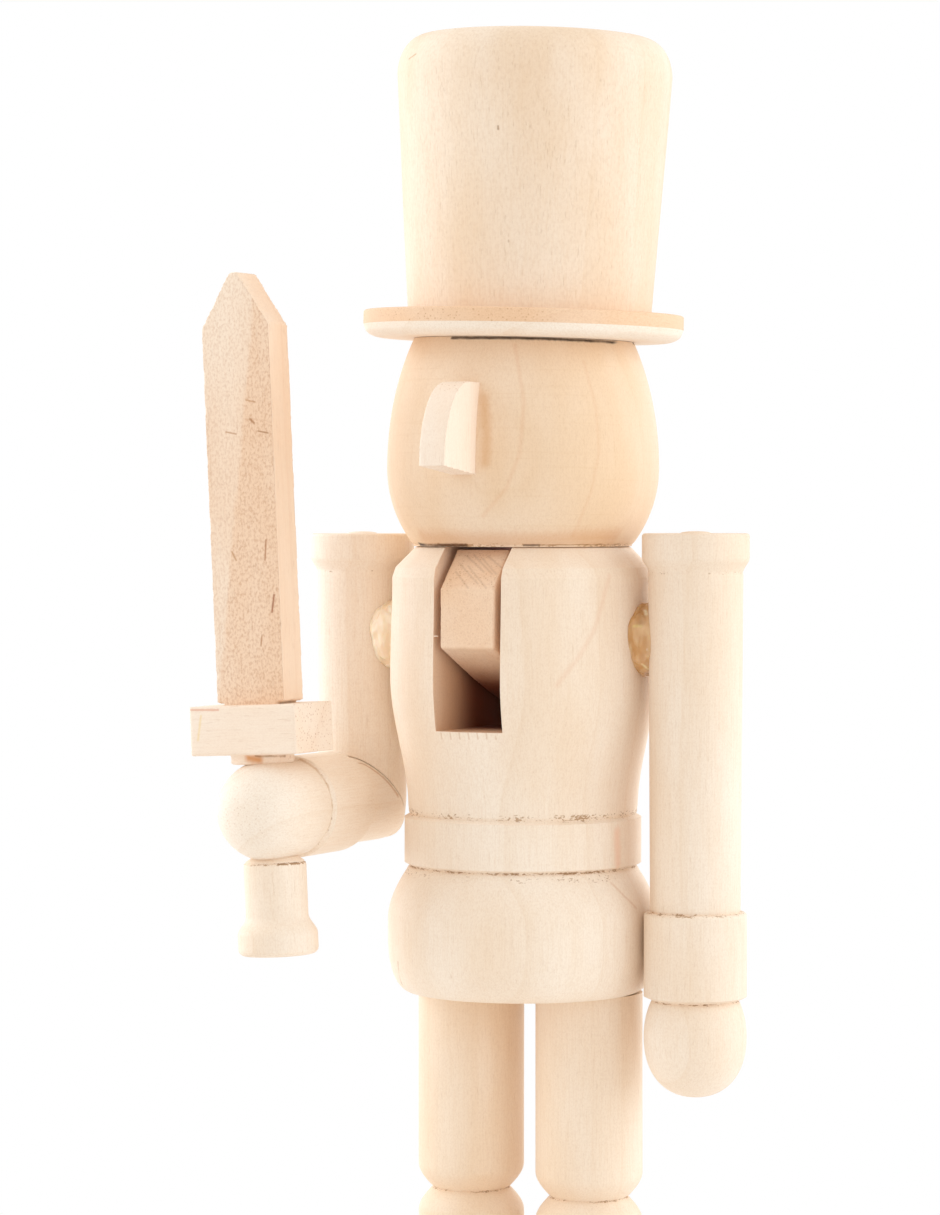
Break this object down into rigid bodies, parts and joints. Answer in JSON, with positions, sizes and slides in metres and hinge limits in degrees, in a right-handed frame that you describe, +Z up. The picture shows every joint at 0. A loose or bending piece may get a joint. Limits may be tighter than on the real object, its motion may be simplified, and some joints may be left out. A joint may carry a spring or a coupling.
{
  "type": "wooden nutcracker",
  "caption": "Bare wooden nutcracker soldier with tall hat, sword arm and plinth; lifting the tail of a pinned lever at its back opens the jaw in the chest slot.",
  "frame": {"origin": "middle of the flat underside of the base, on the axis that the figure is turned about", "axes": "+Z up along the figure, -Y the way that it faces, +X towards its own left hand"},
  "size_m": [0.0923, 0.0836, 0.2541],
  "materials": {
    "turned_wood": "bare pale limewood-like hardwood, turned and lightly sanded",
    "sawn_wood": "bare sawn hardwood, pinker and rougher than the turned pieces",
    "dowel_wood": "plain hidden dowel rod",
    "hot_glue": "set hot-melt glue, cloudy amber",
    "pin_steel": "plain steel wire pin"
  },
  "bodies": {
    "figure": {"base": "turned_wood", "leg_left": "turned_wood", "leg_right": "turned_wood", "toe_cap_left": "turned_wood", "toe_cap_right": "turned_wood", "torso": "turned_wood", "head": "turned_wood", "nose": "sawn_wood", "hat_brim": "turned_wood", "hat_crown": "turned_wood", "arm_left": "turned_wood", "upper_arm_right": "turned_wood", "forearm_right": "turned_wood", "shoulder_glue_left": "hot_glue", "shoulder_glue_right": "hot_glue", "sword_blade": "sawn_wood", "sword_guard": "sawn_wood", "sword_grip": "turned_wood", "jaw_pin": "pin_steel", "foot_dowel_left": "dowel_wood", "foot_dowel_right": "dowel_wood", "hip_dowel_left": "dowel_wood", "hip_dowel_right": "dowel_wood", "neck_dowel_left": "dowel_wood", "neck_dowel_right": "dowel_wood", "hat_dowel": "dowel_wood"},
    "lever": {"jaw_lever": "sawn_wood"}
  },
  "joints": [
    {"name": "jaw_hinge", "type": "hinge", "parent": "figure", "child": "lever", "pos_m": [0, 0.004, 0.1411], "axis": [1, 0, 0], "range_deg": [0, 28]}
  ]
}
